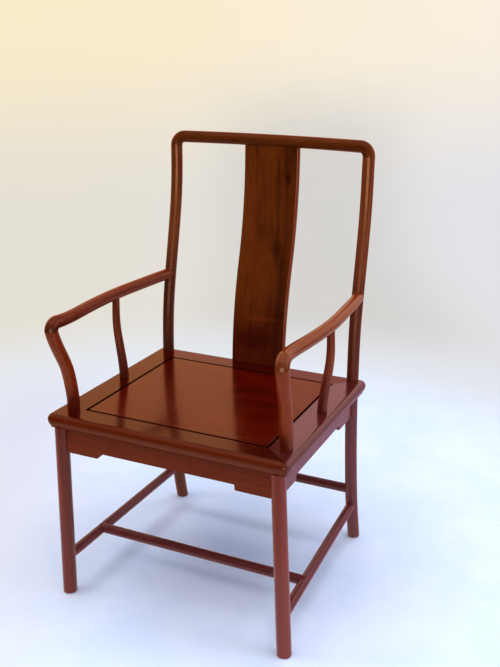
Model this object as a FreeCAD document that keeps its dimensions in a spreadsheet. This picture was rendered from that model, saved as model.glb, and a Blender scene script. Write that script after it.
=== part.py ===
import FreeCAD, Part
import math
import os
import re
import Sketcher

# Southern official's hat armchair in solid hardwood, joined without screws.
# Frame: X to the sitter's left, -Y to the front, +Z up, origin on the floor under the middle of the chair.
# Everything is in millimetres. Right-hand pieces lie at +X, and each is mirrored to make its left-hand twin.

# Driving sizes
SIZES = {
    # seat frame
    "seat_height": 466,
    "seat_width": 572,
    "seat_depth": 514,
    "rail_thickness": 30,
    "front_rail_width": 57,
    "rear_rail_width": 64,
    "side_rail_width": 65.5,
    "seat_corner_ease": 1.6,
    "edge_shoulder": 12.4,
    "edge_drop": 12.7,
    "edge_inset": 6,
    "edge_bead": 2.5,
    "mitre_tenon_height": 8,
    "mitre_tenon_cover": 6,
    "mitre_tenon_end_wall": 17,
    "front_mitre_tenon_width": 26,
    "rear_mitre_tenon_width": 14,
    "mitre_tenon_root": 40,
    "mitre_tenon_wall": 12,
    # floating seat panel and its battens
    "panel_thickness": 14,
    "panel_gap": 6.2,
    "panel_tongue": 6,
    "panel_bite": 7,
    "panel_arris": 0.8,
    "batten_width": 26,
    "batten_depth": 14,
    "batten_offset": 110,
    "dovetail_depth": 4,
    "dovetail_flare": 2.5,
    "batten_tenon_length": 10,
    "batten_tenon_height": 8,
    "batten_tenon_width": 16,
    # rear legs, each one piece with the post of the back
    "rear_leg_side_inset": 31.4,
    "rear_leg_inset": 20.5,
    "rear_foot_radius": 15.8,
    "post_radius": 14.4,
    "leg_kick": 73,
    "kick_run_over": 40,
    "rear_leg_splay": 2,
    "post_toe_in": 3.9,
    "post_straight_foot": 66,
    "post_straight_head": 54,
    "post_rake": 51.5,
    "foot_easing": 2.5,
    # front legs
    "front_leg_side_inset": 28.7,
    "front_leg_inset": 19.5,
    "front_leg_radius": 15.5,
    "front_foot_radius": 16.4,
    "front_leg_splay": 16.5,
    "front_leg_tuck": 19,
    "leg_tenon_radius": 9,
    "leg_tenon_length": 14,
    # crest rail
    "crest_rise": 552,
    "crest_throat": 7.6,
    "crest_bow": 25.5,
    "post_tenon_radius": 7,
    "post_tenon_length": 12,
    # splat
    "splat_width": 141,
    "splat_thickness": 15,
    "splat_offset": 11.5,
    "splat_straight_foot": 5,
    "splat_straight_head": 52,
    "splat_tongue": 10,
    "splat_shoulder": 4,
    "splat_arris": 2.5,
    # arm posts with their gooseneck curve
    "neck_side_inset": 30.8,
    "neck_inset": 64,
    "neck_reach": 53,
    "neck_flare": 8.4,
    "neck_base_radius": 14,
    "elbow_radius": 14.4,
    "neck_tenon_radius": 8,
    "neck_tenon_length": 20,
    "elbow_tenon_radius": 7,
    "elbow_tenon_length": 10,
    # armrests
    "arm_height": 206.5,
    "elbow_throat": 2.1,
    "elbow_turn": 9,
    "arm_radius": 13.8,
    "arm_bow": 14,
    "arm_tenon_radius": 6,
    "arm_tenon_length": 22,
    # side posts, curved like a sickle
    "side_post_side_inset": 30.5,
    "side_post_inset": 275,
    "side_post_flare": 15,
    "side_post_lean": 4,
    "side_post_base_radius": 11.3,
    "side_post_top_radius": 8.5,
    "side_post_tenon_radius": 6,
    "side_post_tenon_length": 18,
    "side_post_top_tenon_radius": 4.5,
    # aprons
    "apron_height": 46.5,
    "apron_thickness": 18,
    "front_apron_setback": 17,
    "side_apron_setback": 25.6,
    "rear_apron_setback": 11,
    "bracket_length": 89.5,
    "side_rear_bracket_length": 101,
    "ogee_round": 4.5,
    "ogee_rise": 5.5,
    "ogee_hollow": 3,
    "apron_tongue_height": 6,
    "apron_tongue_width": 8,
    "apron_tongue_end": 42,
    "apron_tenon_width": 8,
    "apron_tenon_height": 26,
    "apron_tenon_wall": 4,
    # stretchers
    "side_stretcher_front_height": 97.5,
    "side_stretcher_rear_height": 107,
    "rear_stretcher_height": 154.8,
    "cross_stretcher_inset": 168,
    "cross_stretcher_rise": 3,
    "stretcher_radius": 11.7,
    "stretcher_tenon_radius": 6,
    "stretcher_tenon_stop": 4,
    "cross_tenon_stop": 3,
    # play between a tenon and its mortise, on each side and at its end
    "fit_clearance": 0.1,
    "end_clearance": 0.5,
}

document = FreeCAD.newDocument("official_hat_chair")
sheet = document.addObject("Spreadsheet::Sheet", "Sizes")
for row, (alias, size) in enumerate(SIZES.items(), 1):
    sheet.set("A%d" % row, alias)
    sheet.set("B%d" % row, str(size))
    sheet.setAlias("B%d" % row, alias)
document.recompute()

# Places that several pieces share, written in the driving sizes
REACH_BACK = "(seat_depth - rear_leg_inset + leg_kick + rear_foot_radius)"
REACH_FORWARD = "(neck_inset - neck_reach - elbow_radius)"
SEAT_SIDE = "(seat_width / 2)"
SEAT_FRONT = f"(-({REACH_BACK} + {REACH_FORWARD}) / 2)"
SEAT_REAR = f"({SEAT_FRONT} + seat_depth)"
SEAT_TOP = "seat_height"
SEAT_UNDER = "(seat_height - rail_thickness)"
OPENING_SIDE = f"({SEAT_SIDE} - side_rail_width)"
OPENING_FRONT = f"({SEAT_FRONT} + front_rail_width)"
OPENING_REAR = f"({SEAT_REAR} - rear_rail_width)"
PANEL_UNDER = "(seat_height - panel_thickness)"

REAR_LEG_X = f"({SEAT_SIDE} - rear_leg_side_inset)"
REAR_LEG_Y = f"({SEAT_REAR} - rear_leg_inset)"
KICK_TOP = "(seat_height + kick_run_over)"
RAKE_FOOT = "(seat_height + post_straight_foot)"
CREST_AXIS = "(seat_height + crest_rise)"
CREST_CORNER_RADIUS = "(post_radius + crest_throat)"
POST_TOP = f"({CREST_AXIS} - {CREST_CORNER_RADIUS})"
RAKE_LENGTH = f"({POST_TOP} - post_straight_head - {RAKE_FOOT})"
POST_TOP_X = f"({REAR_LEG_X} - post_toe_in)"
POST_TOP_Y = f"({REAR_LEG_Y} + post_rake)"

FRONT_LEG_X = f"({SEAT_SIDE} - front_leg_side_inset)"
FRONT_LEG_Y = f"({SEAT_FRONT} + front_leg_inset)"

NECK_X = f"({SEAT_SIDE} - neck_side_inset)"
NECK_Y = f"({SEAT_FRONT} + neck_inset)"
ARM_AXIS = "(seat_height + arm_height)"
ELBOW_BEND_RADIUS = "(elbow_radius + elbow_throat)"
ELBOW_JOINT = f"({ARM_AXIS} - {ELBOW_BEND_RADIUS})"
ELBOW_X = f"({NECK_X} + neck_flare)"
ELBOW_Y = f"({NECK_Y} - neck_reach)"
ARM_FRONT_X = f"({ELBOW_X} - {ELBOW_BEND_RADIUS} * sin(elbow_turn))"
ARM_FRONT_Y = f"({ELBOW_Y} + {ELBOW_BEND_RADIUS} * cos(elbow_turn))"

SIDE_POST_X = f"({SEAT_SIDE} - side_post_side_inset)"
SIDE_POST_Y = f"({SEAT_FRONT} + side_post_inset)"

FRONT_APRON_FACE = f"({SEAT_FRONT} + front_apron_setback)"
FRONT_APRON_BACK = f"({FRONT_APRON_FACE} + apron_thickness)"
REAR_APRON_FACE = f"({SEAT_REAR} - rear_apron_setback)"
REAR_APRON_BACK = f"({REAR_APRON_FACE} - apron_thickness)"
SIDE_APRON_FACE = f"({SEAT_SIDE} - side_apron_setback)"

# Shares along the curved pieces
KICK_SHARES = (-0.06, 0.2, 0.4, 0.6, 0.8, 1)
RAKE_SHARES = (0.17, 0.34, 0.5, 0.66, 0.83, 1)
NECK_SHARES = ((0, 0), (0.17, 0.03), (0.34, 0.13), (0.5, 0.27), (0.66, 0.51), (0.83, 0.79), (1, 1))
NECK_SLOPE_SHARES = (0, 0.4, 0.75, 1.15, 1.65, 1.45, 0)
SIDE_POST_SHARES = ((0, 0), (0.15, 0.13), (0.3, 0.4), (0.45, 0.7), (0.6, 0.94), (0.75, 1), (1, 0.95))
ARM_SHARES = (
    (0, 0),
    (0.07, -0.2),
    (0.15, 0.02),
    (0.25, 0.42),
    (0.36, 0.76),
    (0.48, 0.97),
    (0.6, 0.94),
    (0.74, 0.71),
    (0.88, 0.46),
    (1, 0.1),
)


# Sheet and expression helpers
def named(text):
    """Puts the sheet's name before each size in an expression."""
    return re.sub(r"[a-z][a-z0-9_]*", lambda word: "Sizes." + word[0] if word[0] in SIZES else word[0], text)


def bind(feature, path, text):
    feature.setExpression(path, named(text))


def amount(text):
    """The present value of an expression, as a plain number."""
    value = sheet.evalExpression(named(text))
    return float(getattr(value, "Value", value))


def new(kind, label):
    feature = document.addObject(kind, label)
    feature.Label = label
    return feature


def place(feature, x, y, z, turn=None):
    """Binds a placement: three expressions and, where the piece is turned, a rotation."""
    turned = f"; {turn}" if turn else "; rotationz(0)"
    bind(feature, "Placement", f"placement(vector({x}; {y}; {z}){turned})")


def smooth(share):
    """Rise of an S-curve, from 0 to 1."""
    return share * share * (3 - 2 * share)


def smooth_slope(share):
    return 6 * share * (1 - share)


# Solid helpers
def block(label, low, high):
    """A box between two corners, each given as three expressions."""
    box = new("Part::Box", label)
    for side, start, end in zip(("Length", "Width", "Height"), low, high):
        bind(box, side, f"({end}) - ({start})")
    place(box, *low)
    return box


def rod(label, start, length, radius, turn=None):
    """A round bar that runs up from start, or another way where it is turned."""
    bar = new("Part::Cylinder", label)
    bind(bar, "Radius", radius)
    bind(bar, "Height", length)
    place(bar, *start, turn)
    return bar


def ring(label, centre, radius, turn=None):
    circle = new("Part::Circle", label)
    bind(circle, "Radius", radius)
    place(circle, *centre, turn)
    return circle


def loft(label, rings, ruled=False):
    member = new("Part::Loft", label)
    member.Sections = rings
    member.Solid = True
    member.Ruled = ruled
    return member


def bend(label, centre, bend_radius, radius, angle, turn):
    """A bent round bar: part of a ring torus."""
    torus = new("Part::Torus", label)
    bind(torus, "Radius1", bend_radius)
    bind(torus, "Radius2", radius)
    bind(torus, "Angle3", angle)
    place(torus, *centre, turn)
    return torus


def join(label, shapes):
    union = new("Part::MultiFuse", label)
    union.Shapes = shapes
    union.Refine = True
    return union


def cut(label, base, tools):
    """Base less one tool or several."""
    less = new("Part::Cut", label)
    less.Base = base
    less.Tool = tools[0] if len(tools) == 1 else join(label + "_tools", tools)
    less.Refine = True
    return less


def common(label, base, tool):
    both = new("Part::Common", label)
    both.Base = base
    both.Tool = tool
    both.Refine = True
    return both


def mirrored(label, source, normal=(1, 0, 0)):
    twin = new("Part::Mirroring", label)
    twin.Source = source
    twin.Normal = FreeCAD.Vector(*normal)
    return twin


# Sketch helpers
def sketch(body, label, role, lift=None):
    """A sketch on one of its body's origin planes, lifted along the plane's normal."""
    drawing = body.newObject("Sketcher::SketchObject", label)
    plane = [feature for feature in body.Origin.OriginFeatures if feature.Role == role][0]
    drawing.AttachmentSupport = [(plane, "")]
    drawing.MapMode = "FlatFace"
    if lift:
        bind(drawing, "AttachmentOffset.Base.z", lift)
    return drawing


def arc(start, end, radius, side):
    """The shorter arc between two points; side is 1 where its centre lies left of the way, -1 right."""
    chord = end - start
    reach = math.sqrt(max(radius ** 2 - (chord.Length / 2) ** 2, 0))
    left = FreeCAD.Vector(-chord.y, chord.x, 0).normalize()
    centre = (start + end) / 2 + left * reach * side
    first, last = (start, end) if side > 0 else (end, start)
    angles = [math.atan2(point.y - centre.y, point.x - centre.x) for point in (first, last)]
    return Part.ArcOfCircle(Part.Circle(centre, FreeCAD.Vector(0, 0, 1), radius), *angles)


def outline(drawing, corners, arcs=None, closed=True):
    """Draws through corners, pairs of expressions; arcs gives radius and side of the edge after a corner."""
    arcs = arcs or {}
    spots = [FreeCAD.Vector(amount(x), amount(y), 0) for x, y in corners]
    count = len(spots) if closed else len(spots) - 1
    ends = []
    for number in range(count):
        start, end = spots[number], spots[(number + 1) % len(spots)]
        if number in arcs:
            radius, side = arcs[number]
            edge = drawing.addGeometry(arc(start, end, amount(radius), side), False)
            index = drawing.addConstraint(Sketcher.Constraint("Radius", edge, amount(radius)))
            bind(drawing, f"Constraints[{index}]", radius)
            ends.append((edge, (1, 2) if side > 0 else (2, 1)))
        else:
            edge = drawing.addGeometry(Part.LineSegment(start, end), False)
            ends.append((edge, (1, 2)))
    for number, (edge, (first, last)) in enumerate(ends):
        fix_point(drawing, edge, first, corners[number])
        if number + 1 < len(ends) or closed:
            after, (after_first, _) = ends[(number + 1) % len(ends)]
            drawing.addConstraint(Sketcher.Constraint("Coincident", edge, last, after, after_first))
        else:
            fix_point(drawing, edge, last, corners[-1])


def fix_point(drawing, edge, end, corner):
    for kind, text in zip(("DistanceX", "DistanceY"), corner):
        index = drawing.addConstraint(Sketcher.Constraint(kind, edge, end, amount(text)))
        bind(drawing, f"Constraints[{index}]", text)


def rectangle(drawing, low, high):
    outline(drawing, [low, (high[0], low[1]), high, (low[0], high[1])])


def pad(body, label, drawing, length, midplane=False, reverse=False):
    feature = body.newObject("PartDesign::Pad", label)
    feature.Profile = drawing
    bind(feature, "Length", length)
    feature.Midplane = midplane
    feature.Reversed = reverse
    return feature


def pocket(body, label, drawing, length, midplane=False, reverse=False):
    feature = body.newObject("PartDesign::Pocket", label)
    feature.Profile = drawing
    bind(feature, "Length", length)
    feature.Midplane = midplane
    feature.Reversed = reverse
    return feature


# Rear leg and post
def rear_leg_blank():
    """Sabre curve below the seat, S-curve of the back above it."""
    rings = []
    for number, share in enumerate(KICK_SHARES):
        back = (1 - share) ** 2
        x = f"{REAR_LEG_X} + rear_leg_splay * {1 - share}"
        y = f"{REAR_LEG_Y} + leg_kick * {back}"
        radius = f"post_radius + (rear_foot_radius - post_radius) * {1 - share}"
        slope = f"rotationx(atan(2 * leg_kick / {KICK_TOP} * {1 - share}))"
        rings.append(ring(f"leg_ring_{number}", (x, y, f"{KICK_TOP} * {share}"), radius, slope))
    for number, share in enumerate(RAKE_SHARES):
        rise = f"(post_straight_foot + {RAKE_LENGTH} * {share}) / (post_straight_foot + {RAKE_LENGTH})"
        x = f"{REAR_LEG_X} - post_toe_in * {rise}"
        y = f"{REAR_LEG_Y} + post_rake * {smooth(share)}"
        slope = f"rotationx(-1 * atan(post_rake / {RAKE_LENGTH} * {smooth_slope(share)}))"
        centre = (x, y, f"{RAKE_FOOT} + {RAKE_LENGTH} * {share}")
        rings.append(ring(f"post_ring_{number}", centre, "post_radius", slope))
    rings.append(ring("post_ring_top", (POST_TOP_X, POST_TOP_Y, POST_TOP), "post_radius"))
    bar = loft("rear_leg_bar", rings)
    floor = block(
        "rear_floor",
        (f"{REAR_LEG_X} - 3 * rear_foot_radius", REAR_LEG_Y, f"{KICK_TOP} * -1"),
        (f"{REAR_LEG_X} + 3 * rear_foot_radius", f"{REAR_LEG_Y} + 2 * leg_kick", "0"),
    )
    return cut("rear_leg_blank", bar, [floor])


def rear_leg_centre(height):
    """Centre of the rear leg at a height under the seat."""
    drop = f"(1 - {height} / {KICK_TOP})"
    return f"({REAR_LEG_X} + rear_leg_splay * {drop})", f"({REAR_LEG_Y} + leg_kick * {drop}^2)"


def post_centre(height):
    """Centre of the post at a height within its rake."""
    share = f"(({height} - {RAKE_FOOT}) / {RAKE_LENGTH})"
    rise = f"(({height} - seat_height) / (post_straight_foot + {RAKE_LENGTH}))"
    x = f"({REAR_LEG_X} - post_toe_in * {rise})"
    return x, f"({REAR_LEG_Y} + post_rake * {share}^2 * (3 - 2 * {share}))"


def post_tenon(label, play="0", end="0"):
    length = f"post_tenon_length + {end}"
    return rod(label, (POST_TOP_X, POST_TOP_Y, POST_TOP), length, f"post_tenon_radius + {play}")


# Front leg
def front_leg_centre(height):
    drop = f"(1 - {height} / {SEAT_UNDER})"
    return f"({FRONT_LEG_X} + front_leg_splay * {drop})", f"({FRONT_LEG_Y} + front_leg_tuck * {drop})"


def front_leg_blank():
    foot = ring("front_foot_ring", (*front_leg_centre("0"), "0"), "front_foot_radius")
    top = ring("front_top_ring", (FRONT_LEG_X, FRONT_LEG_Y, SEAT_UNDER), "front_leg_radius")
    return loft("front_leg_blank", [foot, top], ruled=True)


def leg_tenon(label, play="0", end="0"):
    start = (FRONT_LEG_X, FRONT_LEG_Y, SEAT_UNDER)
    return rod(label, start, f"leg_tenon_length + {end}", f"leg_tenon_radius + {play}")


def eased_foot(label, source, radius_name):
    """Rounds the edge of the foot on the floor."""
    document.recompute()
    edges = source.Shape.Edges
    level = [n for n, edge in enumerate(edges, 1) if edge.BoundBox.ZMax < amount(radius_name) / 100]
    eased = new("Part::Chamfer", label)
    eased.Base = source
    size = amount("foot_easing")
    eased.Edges = [(number, size, size) for number in level]
    return eased


# Stretchers
ALONG_Y = "rotationx(-90)"
ALONG_X = "rotationy(90)"


def side_stretcher_ends():
    """Where the side stretcher's axis meets the axes of the two legs."""
    front, rear = "side_stretcher_front_height", "side_stretcher_rear_height"
    return (*front_leg_centre(front), front), (*rear_leg_centre(rear), rear)


def side_stretcher_bar(label, radius, stop="0"):
    """Round bar between the two leg axes, or short of them by the stop."""
    (front_x, front_y, front_z), (rear_x, rear_y, rear_z) = side_stretcher_ends()
    front = ring(label + "_front", (front_x, f"{front_y} + {stop}", front_z), radius, ALONG_Y)
    rear = ring(label + "_rear", (rear_x, f"{rear_y} - ({stop})", rear_z), radius, ALONG_Y)
    return loft(label, [front, rear], ruled=True)


def cross_stretcher_place():
    """End of the cross stretcher, over the side stretcher's axis."""
    (front_x, front_y, front_z), (rear_x, rear_y, rear_z) = side_stretcher_ends()
    y = f"({SEAT_FRONT} + cross_stretcher_inset)"
    way = f"(({y} - {front_y}) / ({rear_y} - {front_y}))"
    x = f"({front_x} + ({rear_x} - {front_x}) * {way})"
    return x, y, f"({front_z} + ({rear_z} - {front_z}) * {way} + cross_stretcher_rise)"


def cross_bar(label, radius, stop="0"):
    x, y, z = cross_stretcher_place()
    start = (f"-{x} + {stop}", y, z)
    return rod(label, start, f"2 * ({x} - ({stop}))", radius, ALONG_X)


def rear_stretcher_bar(label, radius, stop="0"):
    x, y = rear_leg_centre("rear_stretcher_height")
    start = (f"-{x} + {stop}", y, "rear_stretcher_height")
    return rod(label, start, f"2 * ({x} - ({stop}))", radius, ALONG_X)


# Crest rail
CREST_HALF_ANGLE = f"(2 * atan(crest_bow / ({POST_TOP_X} + {CREST_CORNER_RADIUS})))"
CREST_END_X = f"({POST_TOP_X} - {CREST_CORNER_RADIUS} * cos({CREST_HALF_ANGLE}))"
CREST_END_Y = f"({POST_TOP_Y} + {CREST_CORNER_RADIUS} * sin({CREST_HALF_ANGLE}))"
CREST_BOW_RADIUS = f"({CREST_END_X} / sin({CREST_HALF_ANGLE}))"
CREST_MIDDLE_Y = f"({POST_TOP_Y} + crest_bow)"


def crest_blank():
    """Bowed bar whose ends turn down on to the posts."""
    bow_centre = ("0", f"{CREST_MIDDLE_Y} - {CREST_BOW_RADIUS}", CREST_AXIS)
    turn = f"rotationz(90 - {CREST_HALF_ANGLE} / 1deg)"
    bow = bend("crest_bow", bow_centre, CREST_BOW_RADIUS, "post_radius", f"2 * {CREST_HALF_ANGLE}", turn)
    corner = bend(
        "crest_corner_right",
        (CREST_END_X, CREST_END_Y, POST_TOP),
        CREST_CORNER_RADIUS,
        "post_radius",
        "90",
        f"rotationz(-1 * {CREST_HALF_ANGLE}) * rotationx(90)",
    )
    return join("crest_blank", [bow, corner, mirrored("crest_corner_left", corner)])


# Splat
SPLAT_FOOT_Y = f"({REAR_LEG_Y} + splat_offset)"
SPLAT_RAKE = f"({CREST_MIDDLE_Y} - {SPLAT_FOOT_Y})"
SPLAT_BEND_START = "(seat_height + splat_straight_foot)"
SPLAT_BEND_END = f"({CREST_AXIS} - splat_straight_head)"
SPLAT_HALF_BEND = f"(({SPLAT_BEND_END} - {SPLAT_BEND_START}) / 2)"
SPLAT_BEND_MIDDLE = f"({SPLAT_BEND_START} + {SPLAT_HALF_BEND})"
SPLAT_BEND_RADIUS = f"(({SPLAT_HALF_BEND}^2 + ({SPLAT_RAKE} / 2)^2) / {SPLAT_RAKE})"


def splat_board():
    """Board of even thickness, sawn to an S in side view: two equal arcs between straight ends."""
    body = new("PartDesign::Body", "splat_board")
    half = "splat_thickness / 2"
    tilt = f"({SPLAT_HALF_BEND} / {SPLAT_BEND_RADIUS})"
    drop = f"(sqrt(1 - {tilt}^2) * {half})"
    rise = f"({tilt} * {half})"
    middle_y = f"({SPLAT_FOOT_Y} + {SPLAT_RAKE} / 2)"
    top_y = CREST_MIDDLE_Y
    corners = [
        (f"{SPLAT_FOOT_Y} + {half}", SEAT_TOP),
        (f"{SPLAT_FOOT_Y} + {half}", SPLAT_BEND_START),
        (f"{middle_y} + {drop}", f"{SPLAT_BEND_MIDDLE} - {rise}"),
        (f"{top_y} + {half}", SPLAT_BEND_END),
        (f"{top_y} + {half}", CREST_AXIS),
        (f"{top_y} - {half}", CREST_AXIS),
        (f"{top_y} - {half}", SPLAT_BEND_END),
        (f"{middle_y} - {drop}", f"{SPLAT_BEND_MIDDLE} + {rise}"),
        (f"{SPLAT_FOOT_Y} - {half}", SPLAT_BEND_START),
        (f"{SPLAT_FOOT_Y} - {half}", SEAT_TOP),
    ]
    arcs = {
        1: (f"{SPLAT_BEND_RADIUS} - {half}", -1),
        2: (f"{SPLAT_BEND_RADIUS} + {half}", 1),
        6: (f"{SPLAT_BEND_RADIUS} - {half}", -1),
        7: (f"{SPLAT_BEND_RADIUS} + {half}", 1),
    }
    side = sketch(body, "splat_side", "YZ_Plane")
    outline(side, corners, arcs)
    pad(body, "splat_pad", side, "splat_width", midplane=True)
    return body


def eased_splat(board):
    """Rounds the four long edges of the splat."""
    document.recompute()
    half = amount("splat_width") / 2
    reach = amount("splat_arris") / 100
    names = []
    for number, edge in enumerate(board.Shape.Edges, 1):
        upright = edge.BoundBox.XLength < reach < edge.BoundBox.ZLength
        if upright and abs(abs(edge.CenterOfMass.x) - half) < reach:
            names.append(f"Edge{number}")
    base = board.Tip
    arris = board.newObject("PartDesign::Fillet", "splat_arris_round")
    arris.Base = (base, names)
    bind(arris, "Radius", "splat_arris")
    return board


def splat_foot(label, play="0", end="0"):
    """Tongue of the splat in the rear seat rail."""
    half_width = f"(splat_width / 2 - splat_shoulder + {play})"
    half = f"(splat_thickness / 2 - splat_shoulder + {play})"
    low = (f"-{half_width}", f"{SPLAT_FOOT_Y} - {half}", f"{SEAT_TOP} - splat_tongue - {end}")
    return block(label, low, (half_width, f"{SPLAT_FOOT_Y} + {half}", SEAT_TOP))


def splat_head(label, play="0", end="0"):
    """Tongue of the splat in the crest rail, up to the rail's axis."""
    half_width = f"(splat_width / 2 - splat_shoulder + {play})"
    half = f"(splat_thickness / 2 - splat_shoulder + {play})"
    low = (f"-{half_width}", f"{CREST_MIDDLE_Y} - {half}", f"{CREST_AXIS} - post_radius")
    return block(label, low, (half_width, f"{CREST_MIDDLE_Y} + {half}", f"{CREST_AXIS} + {end}"))


# Arm post, armrest and side post
def neck_blank():
    """Gooseneck: upright at the seat, swinging forward and upright again under the elbow."""
    rings = []
    height = f"(arm_height - {ELBOW_BEND_RADIUS})"
    for number, (share, swing) in enumerate(NECK_SHARES[:-1]):
        centre = (
            f"{NECK_X} + neck_flare * {swing}",
            f"{NECK_Y} - neck_reach * {swing}",
            f"{SEAT_TOP} + {height} * {share}",
        )
        radius = f"neck_base_radius + (elbow_radius - neck_base_radius) * {share}"
        slope = f"rotationx(atan(neck_reach / {height} * {NECK_SLOPE_SHARES[number]}))"
        rings.append(ring(f"neck_ring_{number}", centre, radius, slope))
    rings.append(ring("neck_ring_top", (ELBOW_X, ELBOW_Y, ELBOW_JOINT), "elbow_radius"))
    return loft("neck_blank", rings)


def neck_tenon(label, play="0", end="0"):
    start = (NECK_X, NECK_Y, f"{SEAT_TOP} - neck_tenon_length - {end}")
    return rod(label, start, f"neck_tenon_length + {end}", f"neck_tenon_radius + {play}")


def elbow_tenon(label, play="0", end="0"):
    start = (ELBOW_X, ELBOW_Y, ELBOW_JOINT)
    return rod(label, start, f"elbow_tenon_length + {end}", f"elbow_tenon_radius + {play}")


ARM_REAR_X, ARM_REAR_Y = post_centre(ARM_AXIS)


def arm_centre(share, bow):
    x = f"({ARM_FRONT_X} + ({ARM_REAR_X} - {ARM_FRONT_X}) * {share} + arm_bow * {bow})"
    return x, f"({ARM_FRONT_Y} + ({ARM_REAR_Y} - {ARM_FRONT_Y}) * {share})"


def arm_blank():
    """Level bar bowed outwards, with its front end turned down on to the gooseneck."""
    rings = []
    for number, (share, bow) in enumerate(ARM_SHARES):
        at_elbow = number == 0
        radius = "elbow_radius" if at_elbow else "arm_radius"
        turn = f"rotationz(elbow_turn) * {ALONG_Y}" if at_elbow else ALONG_Y
        rings.append(ring(f"arm_ring_{number}", (*arm_centre(share, bow), ARM_AXIS), radius, turn))
    bar = loft("arm_bar", rings)
    centre = (ARM_FRONT_X, ARM_FRONT_Y, ELBOW_JOINT)
    turn = "rotationz(elbow_turn - 90) * rotationx(90)"
    elbow = bend("elbow", centre, ELBOW_BEND_RADIUS, "elbow_radius", "90", turn)
    return join("arm_blank", [bar, elbow])


def arm_tenon(label, play="0", end="0"):
    """Round tenon from the armrest into the post of the back."""
    start = (ARM_REAR_X, f"{ARM_REAR_Y} - arm_tenon_length", ARM_AXIS)
    length = f"arm_tenon_length + post_radius / 3 + {end}"
    return rod(label, start, length, f"arm_tenon_radius + {play}", ALONG_Y)


def side_post_blank():
    rings = []
    for number, (share, swing) in enumerate(SIDE_POST_SHARES):
        centre = (
            f"{SIDE_POST_X} + side_post_flare * {swing}",
            f"{SIDE_POST_Y} - side_post_lean * {share}",
            f"{SEAT_TOP} + arm_height * {share}",
        )
        radius = f"side_post_base_radius + (side_post_top_radius - side_post_base_radius) * {share}"
        rings.append(ring(f"side_post_ring_{number}", centre, radius))
    return loft("side_post_blank", rings)


def side_post_foot(label, play="0", end="0"):
    start = (SIDE_POST_X, SIDE_POST_Y, f"{SEAT_TOP} - side_post_tenon_length - {end}")
    return rod(label, start, f"side_post_tenon_length + {end}", f"side_post_tenon_radius + {play}")


def side_post_head(label, play="0", end="0"):
    """Tenon from the top of the side post into the armrest."""
    top_share = SIDE_POST_SHARES[-1][1]
    x = f"{SIDE_POST_X} + side_post_flare * {top_share}"
    start = (x, f"{SIDE_POST_Y} - side_post_lean", f"{ARM_AXIS} - 2 * arm_radius")
    length = f"2 * arm_radius + {end}"
    return rod(label, start, length, f"side_post_top_tenon_radius + {play}")


# Seat frame
def seat_ring():
    """The whole mitred frame as one ring: a plate, its moulded edge and the groove for the panel."""
    body = new("PartDesign::Body", "seat_ring")
    plate = sketch(body, "plate_outline", "XY_Plane", SEAT_UNDER)
    corner = (f"({SEAT_SIDE} - edge_shoulder)", f"({SEAT_REAR} - edge_shoulder)")
    rectangle(plate, (f"-{corner[0]}", f"({SEAT_FRONT} + edge_shoulder)"), corner)
    pad(body, "plate", plate, "rail_thickness")
    path = sketch(body, "edge_path", "XY_Plane", f"{SEAT_TOP} - edge_drop")
    rounded_outline(path)
    profile = sketch(body, "edge_profile", "YZ_Plane")
    edge = SEAT_FRONT
    low = f"({SEAT_UNDER} + edge_bead)"
    widest = f"({SEAT_TOP} - edge_drop)"
    upper = "((edge_shoulder^2 + edge_drop^2) / (2 * edge_shoulder))"
    lower_rise = "(rail_thickness - edge_drop - edge_bead)"
    lower = f"((edge_inset^2 + {lower_rise}^2) / (2 * edge_inset))"
    corners = [
        (f"{edge} + edge_shoulder", SEAT_UNDER),
        (f"{edge} + edge_shoulder", SEAT_TOP),
        (edge, widest),
        (f"{edge} + edge_inset", low),
        (f"{edge} + edge_inset", SEAT_UNDER),
    ]
    outline(profile, corners, {1: (upper, 1), 2: (lower, 1)})
    border = body.newObject("PartDesign::AdditivePipe", "edge_moulding")
    border.Profile = profile
    border.Spine = path
    border.Transition = "Round corner"
    opening = sketch(body, "opening_outline", "XY_Plane", SEAT_TOP)
    rectangle(opening, (f"-{OPENING_SIDE}", OPENING_FRONT), (OPENING_SIDE, OPENING_REAR))
    pocket(body, "opening", opening, "rail_thickness")
    groove = sketch(body, "groove_outline", "XY_Plane", f"{PANEL_UNDER} + panel_tongue + fit_clearance")
    depth = "(panel_bite + end_clearance)"
    rectangle(
        groove,
        (f"-{OPENING_SIDE} - {depth}", f"{OPENING_FRONT} - {depth}"),
        (f"{OPENING_SIDE} + {depth}", f"{OPENING_REAR} + {depth}"),
    )
    pocket(body, "groove", groove, "panel_tongue + fit_clearance")
    return body


def rounded_outline(drawing):
    """The widest line of the seat: a rectangle whose corners are a little rounder than the edge."""
    side, front, rear = SEAT_SIDE, SEAT_FRONT, SEAT_REAR
    radius = "(edge_shoulder + seat_corner_ease)"
    corners = [
        (f"-{side} + {radius}", front),
        (f"{side} - {radius}", front),
        (side, f"{front} + {radius}"),
        (side, f"{rear} - {radius}"),
        (f"{side} - {radius}", rear),
        (f"-{side} + {radius}", rear),
        (f"-{side}", f"{rear} - {radius}"),
        (f"-{side}", f"{front} + {radius}"),
    ]
    outline(drawing, corners, {1: (radius, 1), 3: (radius, 1), 5: (radius, 1), 7: (radius, 1)})


def wedge(label, corners):
    """Prism that takes one rail out of the ring; its slanting sides are the mitres."""
    body = new("PartDesign::Body", label)
    plan = sketch(body, label + "_plan", "XY_Plane", SEAT_UNDER)
    outline(plan, corners)
    pad(body, label + "_pad", plan, "rail_thickness")
    return body


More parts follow.
